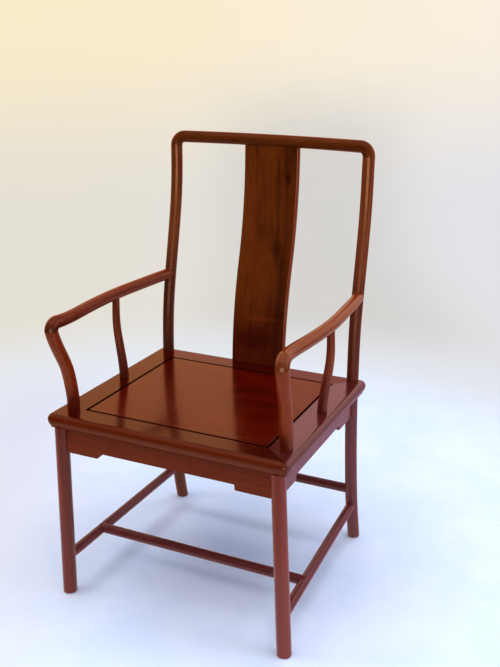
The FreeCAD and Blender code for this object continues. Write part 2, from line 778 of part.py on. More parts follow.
def mitre_tenon(label, low_y, high_y, play="0", end="0"):
    """Tenon of the front or rear rail in the right-hand side rail."""
    top = f"({SEAT_TOP} - mitre_tenon_cover)"
    low = (f"{OPENING_SIDE} - mitre_tenon_root", f"{low_y} - {play}", f"{top} - mitre_tenon_height - {play}")
    high = (f"{SEAT_SIDE} - mitre_tenon_end_wall + {end}", f"{high_y} + {play}", f"{top} + {play}")
    return block(label, low, high)


FRONT_TENON_INNER = f"({OPENING_FRONT} - mitre_tenon_wall)"
FRONT_TENON_OUTER = f"({FRONT_TENON_INNER} - front_mitre_tenon_width)"
REAR_TENON_INNER = f"({OPENING_REAR} + mitre_tenon_wall)"
REAR_TENON_OUTER = f"({REAR_TENON_INNER} + rear_mitre_tenon_width)"


# Seat panel and battens
def seat_panel_board():
    body = new("PartDesign::Body", "seat_panel_board")
    field = sketch(body, "field_outline", "XY_Plane", PANEL_UNDER)
    side = f"({OPENING_SIDE} - panel_gap)"
    front = f"({OPENING_FRONT} + panel_gap)"
    rear = f"({OPENING_REAR} - panel_gap)"
    rectangle(field, (f"-{side}", front), (side, rear))
    pad(body, "field", field, "panel_thickness")
    tongue = sketch(body, "tongue_outline", "XY_Plane", PANEL_UNDER)
    rectangle(
        tongue,
        (f"-{OPENING_SIDE} - panel_bite", f"{OPENING_FRONT} - panel_bite"),
        (f"{OPENING_SIDE} + panel_bite", f"{OPENING_REAR} + panel_bite"),
    )
    pad(body, "tongue", tongue, "panel_tongue")
    document.recompute()
    top = amount(SEAT_TOP)
    names = [
        f"Edge{number}"
        for number, edge in enumerate(body.Shape.Edges, 1)
        if abs(edge.BoundBox.ZMin - top) + abs(edge.BoundBox.ZMax - top) < amount("panel_arris") / 100
    ]
    base = body.Tip
    arris = body.newObject("PartDesign::Fillet", "panel_arris_round")
    arris.Base = (base, names)
    bind(arris, "Radius", "panel_arris")
    return body


def batten_lower():
    """The part of a batten that stands below the panel."""
    half = "batten_width / 2"
    low = (f"batten_offset - {half}", OPENING_FRONT, f"{PANEL_UNDER} - batten_depth")
    return block("batten_lower", low, (f"batten_offset + {half}", OPENING_REAR, PANEL_UNDER))


def batten_dovetail(label, play="0"):
    """The dovetailed upper edge that slides into the underside of the panel."""
    body = new("PartDesign::Body", label)
    end = sketch(body, label + "_section", "XZ_Plane", f"-{OPENING_FRONT}")
    neck = f"(batten_width / 2 - dovetail_flare + {play})"
    head = f"(batten_width / 2 + {play})"
    corners = [
        (f"batten_offset - {neck}", PANEL_UNDER),
        (f"batten_offset + {neck}", PANEL_UNDER),
        (f"batten_offset + {head}", f"{PANEL_UNDER} + dovetail_depth + {play}"),
        (f"batten_offset - {head}", f"{PANEL_UNDER} + dovetail_depth + {play}"),
    ]
    outline(end, corners)
    pad(body, label + "_pad", end, f"{OPENING_REAR} - {OPENING_FRONT}", reverse=True)
    return body


def batten_tenon(label, play="0", end="0"):
    """Tenons at both ends of a batten, as one bar through it."""
    half = f"(batten_tenon_width / 2 + {play})"
    top = f"({PANEL_UNDER} - (batten_depth - batten_tenon_height) / 2)"
    front = f"{OPENING_FRONT} - batten_tenon_length - {end}"
    rear = f"{OPENING_REAR} + batten_tenon_length + {end}"
    low = (f"batten_offset - {half}", front, f"{top} - batten_tenon_height - {play}")
    return block(label, low, (f"batten_offset + {half}", rear, f"{top} + {play}"))


# Aprons
def apron_corners(half_start, half_end, start_bracket, end_bracket):
    """Outline of an apron along its length: two stepped brackets with an ogee, straight between."""
    straight = f"({SEAT_UNDER} - apron_height)"
    deep = f"({straight} - ogee_round - ogee_rise - ogee_hollow)"
    step = "(ogee_round + ogee_hollow)"
    first = f"({half_start} + {start_bracket})"
    last = f"({half_end} - {end_bracket})"
    corners = [
        (half_start, SEAT_UNDER),
        (half_start, deep),
        (first, deep),
        (f"{first} + ogee_round", f"{deep} + ogee_round"),
        (f"{first} + ogee_round", f"{straight} - ogee_hollow"),
        (f"{first} + {step}", straight),
        (f"{last} - {step}", straight),
        (f"{last} - ogee_round", f"{straight} - ogee_hollow"),
        (f"{last} - ogee_round", f"{deep} + ogee_round"),
        (last, deep),
        (half_end, deep),
        (half_end, SEAT_UNDER),
    ]
    arcs = {2: ("ogee_round", 1), 4: ("ogee_hollow", -1), 6: ("ogee_hollow", -1), 8: ("ogee_round", 1)}
    return corners, arcs


def cross_apron(label, half_length, face):
    """Front or rear apron: a board across the chair whose outer or inner face is at the given place."""
    body = new("PartDesign::Body", label)
    drawing = sketch(body, label + "_outline", "XZ_Plane", f"-{face}")
    outline(drawing, *apron_corners(f"-{half_length}", half_length, "bracket_length", "bracket_length"))
    pad(body, label + "_pad", drawing, "apron_thickness", reverse=True)
    return body


def side_apron(label):
    body = new("PartDesign::Body", label)
    drawing = sketch(body, label + "_outline", "YZ_Plane", f"{SIDE_APRON_FACE} - apron_thickness")
    front_bracket = f"({FRONT_LEG_Y} + bracket_length - {FRONT_APRON_BACK})"
    rear_bracket = f"({REAR_APRON_BACK} - ({REAR_LEG_Y} - side_rear_bracket_length))"
    outline(drawing, *apron_corners(FRONT_APRON_BACK, REAR_APRON_BACK, front_bracket, rear_bracket))
    pad(body, label + "_pad", drawing, "apron_thickness")
    return body


def apron_tongue(label, low, high, play="0", end="0"):
    """Tongue along the top of an apron, seated in a groove under the seat rail."""
    low_x, low_y = low
    high_x, high_y = high
    return block(
        label,
        (f"{low_x} - {play}", f"{low_y} - {play}", SEAT_UNDER),
        (f"{high_x} + {play}", f"{high_y} + {play}", f"{SEAT_UNDER} + apron_tongue_height + {end}"),
    )


def cross_tongue(label, half_length, face, play="0", end="0"):
    half = f"({half_length} - apron_tongue_end)"
    near = f"({face} + (apron_thickness - apron_tongue_width) / 2)"
    return apron_tongue(label, (f"-{half}", near), (half, f"({near} + apron_tongue_width)"), play, end)


def side_tongue(label, play="0", end="0"):
    near = f"({SIDE_APRON_FACE} - (apron_thickness + apron_tongue_width) / 2)"
    low = (near, f"({FRONT_LEG_Y} + apron_tongue_end)")
    high = (f"({near} + apron_tongue_width)", f"({REAR_LEG_Y} - apron_tongue_end)")
    return apron_tongue(label, low, high, play, end)


def tenon_band(play="0"):
    """Lower and upper level of the apron tenons in the legs."""
    top = f"({SEAT_UNDER} - apron_height / 2 + apron_tenon_height / 2)"
    return f"({top} - apron_tenon_height - {play})", f"({top} + {play})"


def cross_apron_tenon(label, half_length, face, play="0", end="0"):
    """Tenons at both ends of a front or rear apron, as one bar through it."""
    low_z, high_z = tenon_band(play)
    near = f"({face} + (apron_thickness - apron_tenon_width) / 2 - {play})"
    far = f"({face} + (apron_thickness + apron_tenon_width) / 2 + {play})"
    half = f"({half_length} - apron_tenon_wall + {end})"
    return block(label, (f"-{half}", near, low_z), (half, far, high_z))


def side_apron_tenon(label, play="0", end="0"):
    low_z, high_z = tenon_band(play)
    near = f"({SIDE_APRON_FACE} - (apron_thickness + apron_tenon_width) / 2 - {play})"
    far = f"({SIDE_APRON_FACE} - (apron_thickness - apron_tenon_width) / 2 + {play})"
    front = f"({FRONT_LEG_Y} + 2 * apron_tenon_wall - {end})"
    rear = f"({REAR_LEG_Y} - 2 * apron_tenon_wall + {end})"
    return block(label, (near, front, low_z), (far, rear, high_z))


PLAY = ("fit_clearance", "end_clearance")


# Assembly
def build():
    """Makes every piece and returns the finished ones by name."""
    pieces = {}
    rear_leg = rear_leg_blank()
    front_leg = front_leg_blank()
    neck = neck_blank()
    arm = arm_blank()
    side_post = side_post_blank()
    side_bar = side_stretcher_bar("side_stretcher_bar", "stretcher_radius")
    rear_leg_twin = mirrored("rear_leg_blank_left", rear_leg)
    front_leg_twin = mirrored("front_leg_blank_left", front_leg)
    side_bar_twin = mirrored("side_stretcher_bar_left", side_bar)

    tenon, socket = "stretcher_tenon_radius", "stretcher_tenon_radius + fit_clearance"
    stop, shorter = "stretcher_tenon_stop", "stretcher_tenon_stop - end_clearance"
    side_core = side_stretcher_bar("side_stretcher_tenons", tenon, stop)
    side_socket = side_stretcher_bar("side_stretcher_sockets", socket, shorter)
    rear_core = rear_stretcher_bar("rear_stretcher_tenons", tenon, stop)
    rear_socket = rear_stretcher_bar("rear_stretcher_sockets", socket, shorter)
    cross_core = cross_bar("cross_stretcher_tenons", tenon, "cross_tenon_stop")
    cross_socket = cross_bar("cross_stretcher_sockets", socket, "cross_tenon_stop - end_clearance")

    # legs
    rear_body = join("rear_leg_body", [rear_leg, post_tenon("post_tenon")])
    rear_sockets = [
        side_socket,
        rear_socket,
        arm_tenon("arm_socket", *PLAY),
        cross_apron_tenon("rear_apron_socket", REAR_LEG_X, REAR_APRON_BACK, *PLAY),
        side_apron_tenon("side_apron_socket", *PLAY),
    ]
    rear_cut = cut("rear_leg_cut", rear_body, rear_sockets)
    pieces["rear_leg_right"] = eased_foot("rear_leg_right", rear_cut, "rear_foot_radius")
    front_body = join("front_leg_body", [front_leg, leg_tenon("leg_tenon")])
    front_sockets = [
        side_socket,
        cross_apron_tenon("front_apron_socket", FRONT_LEG_X, FRONT_APRON_FACE, *PLAY),
        side_apron_tenon("side_apron_front_socket", *PLAY),
    ]
    front_cut = cut("front_leg_cut", front_body, front_sockets)
    pieces["front_leg_right"] = eased_foot("front_leg_right", front_cut, "front_foot_radius")

    # stretchers
    side = cut("side_stretcher_shoulders", side_bar, [rear_leg, front_leg])
    side_joined = join("side_stretcher_joined", [side, side_core])
    pieces["side_stretcher_right"] = cut("side_stretcher_right", side_joined, [cross_socket])
    whole_cross = cross_bar("cross_stretcher_bar", "stretcher_radius")
    cross = cut("cross_stretcher_shoulders", whole_cross, [side_bar, side_bar_twin])
    pieces["cross_stretcher"] = join("cross_stretcher", [cross, cross_core])
    whole_rear = rear_stretcher_bar("rear_stretcher_bar", "stretcher_radius")
    rear = cut("rear_stretcher_shoulders", whole_rear, [rear_leg, rear_leg_twin])
    pieces["rear_stretcher"] = join("rear_stretcher", [rear, rear_core])

    # back
    crest = crest_blank()
    post_socket = post_tenon("post_socket", *PLAY)
    pieces["crest_rail"] = cut("crest_rail", crest, [
        post_socket,
        mirrored("post_socket_left", post_socket),
        splat_head("splat_head_socket", *PLAY),
    ])
    shoulders = cut("splat_shoulders", eased_splat(splat_board()), [crest])
    pieces["splat"] = join("splat", [shoulders, splat_foot("splat_foot"), splat_head("splat_head")])

    # arms
    pieces["arm_post_right"] = join("arm_post_right", [
        neck,
        neck_tenon("neck_tenon"),
        elbow_tenon("elbow_tenon"),
    ])
    arm_joined = join("arm_joined", [cut("arm_shoulder", arm, [rear_leg]), arm_tenon("arm_tenon")])
    pieces["armrest_right"] = cut("armrest_right", arm_joined, [
        elbow_tenon("elbow_socket", *PLAY),
        side_post_head("side_post_head_socket", *PLAY),
    ])
    pieces["side_post_right"] = join("side_post_right", [
        cut("side_post_shoulder", side_post, [arm]),
        side_post_foot("side_post_foot"),
        side_post_head("side_post_head"),
    ])

    # aprons
    front_board = cross_apron("apron_front_board", FRONT_LEG_X, FRONT_APRON_FACE)
    rear_board = cross_apron("apron_rear_board", REAR_LEG_X, REAR_APRON_BACK)
    side_board = side_apron("apron_side_board")
    pieces["apron_front"] = join("apron_front", [
        cut("apron_front_shoulders", front_board, [front_leg, front_leg_twin]),
        cross_tongue("apron_front_tongue", FRONT_LEG_X, FRONT_APRON_FACE),
        cross_apron_tenon("apron_front_tenons", FRONT_LEG_X, FRONT_APRON_FACE),
    ])
    pieces["apron_rear"] = join("apron_rear", [
        cut("apron_rear_shoulders", rear_board, [rear_leg, rear_leg_twin]),
        cross_tongue("apron_rear_tongue", REAR_LEG_X, REAR_APRON_BACK),
        cross_apron_tenon("apron_rear_tenons", REAR_LEG_X, REAR_APRON_BACK),
    ])
    pieces["apron_right"] = join("apron_right", [
        cut("apron_side_shoulders", side_board, [front_leg, rear_leg]),
        side_tongue("apron_right_tongue"),
        side_apron_tenon("apron_right_tenons"),
    ])

    # seat
    ring_body = seat_ring()
    outer_front, outer_front_left = (SEAT_SIDE, SEAT_FRONT), (f"-{SEAT_SIDE}", SEAT_FRONT)
    outer_rear, outer_rear_left = (SEAT_SIDE, SEAT_REAR), (f"-{SEAT_SIDE}", SEAT_REAR)
    inner_front, inner_front_left = (OPENING_SIDE, OPENING_FRONT), (f"-{OPENING_SIDE}", OPENING_FRONT)
    inner_rear, inner_rear_left = (OPENING_SIDE, OPENING_REAR), (f"-{OPENING_SIDE}", OPENING_REAR)
    plans = {
        "front": [outer_front_left, outer_front, inner_front, inner_front_left],
        "rear": [outer_rear, outer_rear_left, inner_rear_left, inner_rear],
        "right": [outer_front, outer_rear, inner_rear, inner_front],
    }
    rails = {}
    for name, plan in plans.items():
        rails[name] = common(f"rail_{name}_plain", ring_body, wedge(f"wedge_{name}", plan))
    front_tenon = mitre_tenon("front_mitre_tenon", FRONT_TENON_OUTER, FRONT_TENON_INNER)
    rear_tenon = mitre_tenon("rear_mitre_tenon", REAR_TENON_INNER, REAR_TENON_OUTER)
    leg_socket = leg_tenon("leg_socket", *PLAY)
    batten_socket = batten_tenon("batten_socket", *PLAY)
    batten_sockets = [batten_socket, mirrored("batten_socket_left", batten_socket)]
    front_tenons = [front_tenon, mirrored("front_mitre_tenon_left", front_tenon)]
    rear_tenons = [rear_tenon, mirrored("rear_mitre_tenon_left", rear_tenon)]
    front_rail = join("rail_front_joined", [rails["front"], *front_tenons])
    rear_rail = join("rail_rear_joined", [rails["rear"], *rear_tenons])
    pieces["seat_rail_front"] = cut("seat_rail_front", front_rail, [
        leg_socket,
        mirrored("leg_socket_left", leg_socket),
        cross_tongue("apron_front_groove", FRONT_LEG_X, FRONT_APRON_FACE, *PLAY),
        *batten_sockets,
    ])
    pieces["seat_rail_rear"] = cut("seat_rail_rear", rear_rail, [
        rear_leg,
        rear_leg_twin,
        cross_tongue("apron_rear_groove", REAR_LEG_X, REAR_APRON_BACK, *PLAY),
        splat_foot("splat_foot_socket", *PLAY),
        *batten_sockets,
    ])
    pieces["seat_rail_right"] = cut("seat_rail_right", rails["right"], [
        leg_socket,
        rear_leg,
        neck_tenon("neck_socket", *PLAY),
        side_post_foot("side_post_socket", *PLAY),
        side_tongue("apron_right_groove", *PLAY),
        mitre_tenon("front_mitre_socket", FRONT_TENON_OUTER, FRONT_TENON_INNER, *PLAY),
        mitre_tenon("rear_mitre_socket", REAR_TENON_INNER, REAR_TENON_OUTER, *PLAY),
    ])

    # panel and battens
    groove = batten_dovetail("batten_groove", "fit_clearance")
    groove_twin = mirrored("batten_groove_left", groove)
    pieces["seat_panel"] = cut("seat_panel", seat_panel_board(), [groove, groove_twin])
    pieces["batten_right"] = join("batten_right", [
        batten_lower(),
        batten_dovetail("batten_dovetail"),
        batten_tenon("batten_tenons"),
    ])

    for name in [name for name in pieces if name.endswith("_right")]:
        twin = name.replace("_right", "_left")
        pieces[twin] = mirrored(twin, pieces[name])
    return pieces


pieces = build()
document.recompute()

failed = [feature.Label for feature in document.Objects if {"Invalid", "Error"} & set(feature.State)]
for name, piece in pieces.items():
    if piece.Shape.isNull() or not piece.Shape.isValid() or len(piece.Shape.Solids) != 1:
        failed.append(name)
if failed:
    raise SystemExit("not built: " + ", ".join(failed))

os.makedirs("parts", exist_ok=True)
for name, piece in pieces.items():
    piece.Shape.exportStep(f"parts/{name}.step")
    box = piece.Shape.BoundBox
    print(f"{name:22s} {piece.Shape.Volume / 1000:9.1f} cm3  z {box.ZMin:7.1f} to {box.ZMax:7.1f}")
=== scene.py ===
"""Finishes, light and camera of an official's hat armchair in dark varnished rosewood."""

import bpy
import math
from collections import namedtuple
from mathutils import Matrix, Vector


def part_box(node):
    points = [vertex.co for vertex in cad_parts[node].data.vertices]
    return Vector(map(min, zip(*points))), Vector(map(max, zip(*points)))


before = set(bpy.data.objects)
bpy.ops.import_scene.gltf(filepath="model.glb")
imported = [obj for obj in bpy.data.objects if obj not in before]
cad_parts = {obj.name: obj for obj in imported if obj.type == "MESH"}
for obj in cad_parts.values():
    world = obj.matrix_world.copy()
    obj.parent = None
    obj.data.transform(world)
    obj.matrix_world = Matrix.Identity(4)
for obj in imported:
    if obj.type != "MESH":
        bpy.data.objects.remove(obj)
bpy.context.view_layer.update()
bpy.ops.object.select_all(action="DESELECT")


def linear(red, green, blue):
    """A colour given as it looks, from 0 to 255, made the value a shader works in."""
    shares = [channel / 255 for channel in (red, green, blue)]
    return tuple(s / 12.92 if s <= 0.04045 else ((s + 0.055) / 1.055) ** 2.4 for s in shares) + (1.0,)


# Shader helpers
def add_node(tree, kind, inputs=(), **settings):
    """Adds a shader node, sets what is given and links inputs that are sockets of other nodes."""
    node = tree.nodes.new(kind)
    for name, value in settings.items():
        setattr(node, name, value)
    for name, value in dict(inputs).items():
        if isinstance(value, bpy.types.NodeSocket):
            tree.links.new(value, node.inputs[name])
        else:
            node.inputs[name].default_value = value
    return node


def arithmetic(tree, operation, first, second=0.0):
    return add_node(tree, "ShaderNodeMath", {0: first, 1: second}, operation=operation).outputs[0]


def place_arithmetic(tree, operation, first, second=(0.0, 0.0, 0.0)):
    return add_node(tree, "ShaderNodeVectorMath", {0: first, 1: second}, operation=operation).outputs[0]


def length_of(tree, place):
    return add_node(tree, "ShaderNodeVectorMath", {0: place}, operation="LENGTH").outputs["Value"]


def axes_of(tree, place):
    """The X, Y and Z of a place."""
    return add_node(tree, "ShaderNodeSeparateXYZ", {"Vector": place}).outputs


def stepped(tree, value, start, end, at_start=0.0, at_end=1.0):
    """Smooth change from one level of a value to another, rising or falling."""
    inputs = {"Value": value, "From Min": start, "From Max": end, "To Min": at_start, "To Max": at_end}
    return add_node(tree, "ShaderNodeMapRange", inputs, interpolation_type="SMOOTHSTEP").outputs["Result"]


def blended(tree, share, first, second, kind="MIX"):
    node = add_node(tree, "ShaderNodeMix", {0: share, 6: first, 7: second}, data_type="RGBA", blend_type=kind)
    return node.outputs[2]


def stretched(tree, place, across, along):
    """The place scaled so that a pattern runs along the grain."""
    return place_arithmetic(tree, "MULTIPLY", place, (across, across, along))


def noise(tree, vector, detail=3.0, roughness=0.5):
    inputs = {"Vector": vector, "Scale": 1.0, "Detail": detail, "Roughness": roughness}
    return add_node(tree, "ShaderNodeTexNoise", inputs).outputs["Fac"]


def new_group(name, inputs, outputs):
    """A shader group with named inputs, given with their kinds and defaults, and named outputs."""
    group = bpy.data.node_groups.new(name, "ShaderNodeTree")
    for label, (kind, value) in inputs.items():
        socket = group.interface.new_socket(label, in_out="INPUT", socket_type="NodeSocket" + kind)
        socket.default_value = value
    for label, kind in outputs.items():
        group.interface.new_socket(label, in_out="OUTPUT", socket_type="NodeSocket" + kind)
    return group, group.nodes.new("NodeGroupInput").outputs, group.nodes.new("NodeGroupOutput").inputs


# Figure of the wood: how often each part of it repeats in a metre, across and along the grain
WANDER_RATE = (5, 1.6)
BROAD_STREAK_RATE = (75, 1.5)
FINE_STREAK_RATE = (330, 4)
CLOUD_RATE = (13, 4.5)
PORE_RATE = (1500, 42)
PORE_PAINT = linear(34, 10, 5)

# The wave texture's scale for the growth rings, and how far they drift from side to side, in metres
RING_SCALE = 42.0
WANDER_REACH = 0.05


def make_rosewood_grain():
    """Growth lines, streaks, cloudy figure and pores, with the grain along Z."""
    group, given, out = new_group(
        "rosewood grain",
        {
            "Position": ("Vector", (0.0, 0.0, 0.0)),
            "Base": ("Color", linear(100, 44, 24)),
            "Deep": ("Color", linear(58, 18, 8)),
            "Glow": ("Color", linear(132, 66, 34)),
            "Growth": ("Float", 0.1),
            "Streaks": ("Float", 0.45),
            "Clouds": ("Float", 0.35),
            "Pores": ("Float", 0.5),
        },
        {"Color": "Color", "Roughness": "Float", "Height": "Float"},
    )
    place = given["Position"]
    wander = add_node(group, "ShaderNodeTexNoise", {
        "Vector": stretched(group, place, *WANDER_RATE),
        "Scale": 1.0,
        "Detail": 1.0,
    })
    centred = place_arithmetic(group, "SUBTRACT", wander.outputs["Color"], (0.5, 0.5, 0.5))
    drift = add_node(group, "ShaderNodeVectorMath", {0: centred, "Scale": WANDER_REACH}, operation="SCALE")
    grown = place_arithmetic(group, "ADD", place, drift.outputs[0])
    rings = add_node(
        group,
        "ShaderNodeTexWave",
        {"Vector": grown, "Scale": RING_SCALE, "Distortion": 1.2, "Detail": 2.0, "Detail Scale": 0.8},
        wave_type="RINGS",
        rings_direction="Z",
        wave_profile="SIN",
    ).outputs["Fac"]
    broad = noise(group, stretched(group, grown, *BROAD_STREAK_RATE), detail=2.0)
    fine = noise(group, stretched(group, grown, *FINE_STREAK_RATE), detail=3.0, roughness=0.65)
    cloud = noise(group, stretched(group, place, *CLOUD_RATE), detail=2.0, roughness=0.55)
    pore = noise(group, stretched(group, place, *PORE_RATE), detail=1.0)

    growth = arithmetic(group, "MULTIPLY", stepped(group, rings, 0.35, 0.95), given["Growth"])
    dark_streak = arithmetic(group, "MULTIPLY", stepped(group, broad, 0.5, 0.72), given["Streaks"])
    dark_cloud = arithmetic(group, "MULTIPLY", stepped(group, cloud, 0.5, 0.78), given["Clouds"])
    light_streak = arithmetic(group, "MULTIPLY", stepped(group, fine, 0.46, 0.72), given["Streaks"])
    light_cloud = arithmetic(group, "MULTIPLY", stepped(group, cloud, 0.5, 0.22), given["Clouds"])
    pores = arithmetic(group, "MULTIPLY", stepped(group, pore, 0.6, 0.7), given["Pores"])

    colour = blended(group, light_cloud, given["Base"], given["Glow"])
    colour = blended(group, light_streak, colour, given["Glow"])
    colour = blended(group, growth, colour, given["Deep"])
    colour = blended(group, dark_streak, colour, given["Deep"])
    colour = blended(group, dark_cloud, colour, given["Deep"])
    colour = blended(group, pores, colour, PORE_PAINT)
    group.links.new(colour, out["Color"])
    pore_roughness = arithmetic(group, "MULTIPLY", pores, 0.25)
    fibre_roughness = stepped(group, fine, 0.3, 0.7, at_start=0.9, at_end=1.1)
    group.links.new(arithmetic(group, "ADD", pore_roughness, fibre_roughness), out["Roughness"])
    fibre_height = arithmetic(group, "MULTIPLY", fine, 0.35)
    group.links.new(arithmetic(group, "SUBTRACT", fibre_height, pores), out["Height"])
    return group


# Open line round the seat panel, darkened by dust and painted shade: how far its edges fade, and how deep
# down the darkening is full, in metres
FADE_START = 0.0002
FADE_END = 0.0006
DUST_AND_SHADE_DEPTH = 0.0012


def make_panel_gap():
    """Dust and shadow in the open line round the seat panel: 1 below the top of the seat, 0 elsewhere."""
    group, given, out = new_group(
        "panel gap",
        {
            "Position": ("Vector", (0.0, 0.0, 0.0)),
            "Middle": ("Vector", (0.0, 0.0, 0.0)),
            "Opening": ("Vector", (0.2, 0.2, 0.0)),
            "Panel": ("Vector", (0.2, 0.2, 0.0)),
            "Top": ("Float", 0.466),
        },
        {"Mask": "Float"},
    )
    away = place_arithmetic(group, "SUBTRACT", given["Position"], given["Middle"])
    reach = place_arithmetic(group, "ABSOLUTE", away)
    past_panel = axes_of(group, place_arithmetic(group, "SUBTRACT", reach, given["Panel"]))
    past_opening = axes_of(group, place_arithmetic(group, "SUBTRACT", reach, given["Opening"]))
    off_panel = arithmetic(group, "MAXIMUM", past_panel["X"], past_panel["Y"])
    off_opening = arithmetic(group, "MAXIMUM", past_opening["X"], past_opening["Y"])
    outside_panel = stepped(group, off_panel, -FADE_END, -FADE_START)
    inside_opening = stepped(group, off_opening, FADE_END, FADE_START)
    below_top = arithmetic(group, "SUBTRACT", given["Top"], axes_of(group, given["Position"])["Z"])
    depth = stepped(group, below_top, FADE_START, DUST_AND_SHADE_DEPTH)
    ring = arithmetic(group, "MULTIPLY", outside_panel, inside_opening)
    group.links.new(arithmetic(group, "MULTIPLY", ring, depth), out["Mask"])
    return group


def make_soft_mark():
    """Soft patch of another tone, for knots, clouds and painted shade: 1 in its middle, 0 outside, with a
    wandering edge.

    Narrowness is how many times the mark's half width, depth and height fit in a metre.
    """
    group, given, out = new_group(
        "soft mark",
        {
            "Position": ("Vector", (0.0, 0.0, 0.0)),
            "Centre": ("Vector", (0.0, 0.0, 0.0)),
            "Narrowness": ("Vector", (50.0, 0.0, 50.0)),
        },
        {"Mask": "Float"},
    )
    wander = noise(group, stretched(group, given["Position"], across=60, along=40), detail=2.0)
    away = place_arithmetic(group, "SUBTRACT", given["Position"], given["Centre"])
    distance = length_of(group, place_arithmetic(group, "MULTIPLY", away, given["Narrowness"]))
    edge = arithmetic(group, "ADD", distance, arithmetic(group, "SUBTRACT", wander, 0.5))
    group.links.new(stepped(group, edge, 1.0, 0.25), out["Mask"])
    return group


SOFT_MARK = make_soft_mark()
ROSEWOOD_GRAIN = make_rosewood_grain()
PANEL_GAP = make_panel_gap()

# Varnish, from the most yellowed to the clearest, and the two with a cool cast. Copper on the rear seat rail,
# plum on the right one and lilac on the right apron tint them with painted reflection; the stretchers' plum
# is their own tint
AMBER_VARNISH = (1.0, 0.65, 0.5, 1.0)
COPPER_VARNISH = (1.0, 0.66, 0.62, 1.0)
HONEY_VARNISH = (1.0, 0.78, 0.66, 1.0)
PALE_VARNISH = (1.0, 0.8, 0.64, 1.0)
ROSE_VARNISH = (1.0, 0.92, 0.93, 1.0)
CLEAR_VARNISH = (1.0, 0.97, 0.98, 1.0)
PLUM_VARNISH = (1.0, 0.8, 0.82, 1.0)
LILAC_VARNISH = (1.0, 0.84, 0.92, 1.0)
VARNISH_ROUGHNESS = 0.2
VARNISH_IOR = 1.05

# Colour of the shine under the varnish
WHITE_SHINE = (1.0, 1.0, 1.0, 1.0)
WARM_SHINE = (1.0, 0.62, 0.45, 1.0)
STRAW_SHINE = (1.0, 0.85, 0.7, 1.0)
LEG_SHINE = (1.0, 0.92, 0.88, 1.0)
STRETCHER_SHINE = (1.0, 0.95, 1.0, 1.0)

PORE_DEPTH = 0.0002
PORE_RELIEF = 0.25
# Near black: dust and painted shade down in the open line round the seat panel
GAP_DUST_AND_SHADE_PAINT = linear(30, 7, 5)

# Turns that lay the grain along an axis of the chair, in degrees
GRAIN_TURNS = {"X": (0, 90, 0), "Y": (90, 0, 0), "Z": (0, 0, 0)}

# Tones of a board, as they look. A shade is a slow change along an axis, full at its end. A mark is a soft
# patch of another tone, with its half sizes as its spread. Rubbed varnish gets so many times duller between
# two heights.
# Many of the shades and some of the marks below are painted light and shade.
Tone = namedtuple("Tone", "base deep glow")
Shade = namedtuple("Shade", "axis start end depth tone")
Mark = namedtuple("Mark", "centre spread depth tone")
Rubbed = namedtuple("Rubbed", "start end times")


def grain_place(tree, place, along, offset, pith, slant):
    """The place in the log that a piece was cut from, with the grain along Z and the pith at the middle."""
    turn = [math.radians(angle) for angle in GRAIN_TURNS[along]]
    laid = add_node(tree, "ShaderNodeMapping", {"Vector": place, "Rotation": turn})
    cut = {
        "Vector": laid.outputs[0],
        "Location": (pith[0], pith[1], offset),
        "Rotation": (math.radians(slant[0]), math.radians(slant[1]), 0),
    }
    return add_node(tree, "ShaderNodeMapping", cut).outputs[0]


def stained_and_painted_light(tree, place, colour, shades, marks, gap):
    """The grain's colour with its shades and marks, many of them painted light and shade, and the dust and
    painted shade in the seat's open line.
    """
    split = axes_of(tree, place)
    for axis, start, end, depth, tone in shades:
        share = stepped(tree, split[axis], start, end, at_end=depth)
        colour = blended(tree, share, colour, linear(*tone))
    for centre, spread, depth, tone in marks:
        narrowness = [1 / length if length else 0 for length in spread]
        inputs = {"Position": place, "Centre": centre, "Narrowness": narrowness}
        mark = add_node(tree, "ShaderNodeGroup", inputs, node_tree=SOFT_MARK)
        share = arithmetic(tree, "MULTIPLY", mark.outputs["Mask"], depth)
        colour = blended(tree, share, colour, linear(*tone))
    if gap:
        gap_dust_and_shade = add_node(tree, "ShaderNodeGroup", {"Position": place, **gap}, node_tree=PANEL_GAP)
        colour = blended(tree, gap_dust_and_shade.outputs["Mask"], colour, GAP_DUST_AND_SHADE_PAINT)
    return colour


